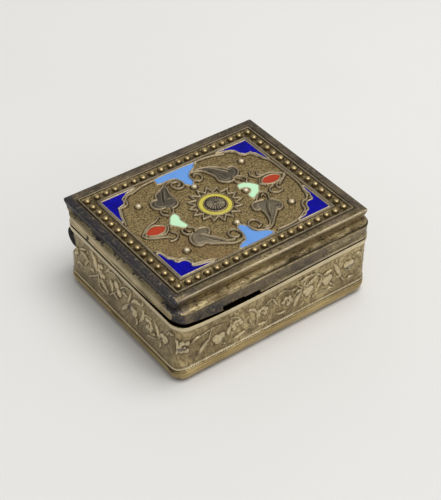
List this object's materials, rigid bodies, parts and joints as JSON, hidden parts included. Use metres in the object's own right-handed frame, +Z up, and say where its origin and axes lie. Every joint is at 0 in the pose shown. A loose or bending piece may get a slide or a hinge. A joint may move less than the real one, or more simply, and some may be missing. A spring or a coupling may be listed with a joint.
{
  "type": "hinged trinket box",
  "caption": "Small rectangular gilt metal trinket box with a stamped leaf frieze and a hinged lid set with scrolling wire and coloured enamel cells.",
  "frame": {"origin": "bottom centre of the closed box's bounding box, in the plane it stands on", "axes": "+X to the right along the hinge, +Y towards the hinge at the back, +Z up; the thumb notch faces -Y"},
  "size_m": [0.045, 0.0388, 0.0195],
  "materials": {
    "gilt_silver": "worn gilding on stamped silver, dull in the hollows",
    "tarnished_gilt_silver": "dull granular gilding with grey-brown tarnish",
    "dark_pin_wire": "dark drawn wire",
    "cobalt_enamel": "glossy opaque enamel",
    "sky_enamel": "glossy opaque enamel",
    "mint_enamel": "glossy opaque enamel",
    "red_enamel": "glossy opaque enamel",
    "yellow_enamel": "glossy opaque enamel"
  },
  "bodies": {
    "box_body": {"box_body": "gilt_silver", "hinge_pin": "dark_pin_wire"},
    "lid": {"lid": "tarnished_gilt_silver", "enamel_cobalt_back_left": "cobalt_enamel", "enamel_cobalt_back_right": "cobalt_enamel", "enamel_cobalt_front_left": "cobalt_enamel", "enamel_cobalt_front_right": "cobalt_enamel", "enamel_sky_back": "sky_enamel", "enamel_sky_front": "sky_enamel", "enamel_mint_left": "mint_enamel", "enamel_mint_right": "mint_enamel", "enamel_red_left": "red_enamel", "enamel_red_right": "red_enamel", "enamel_yellow_ring": "yellow_enamel"}
  },
  "joints": [
    {"name": "lid_hinge", "type": "hinge", "parent": "box_body", "child": "lid", "pos_m": [0, 0.0172, 0.0094], "axis": [-1, 0, 0], "range_deg": [0, 105]}
  ]
}
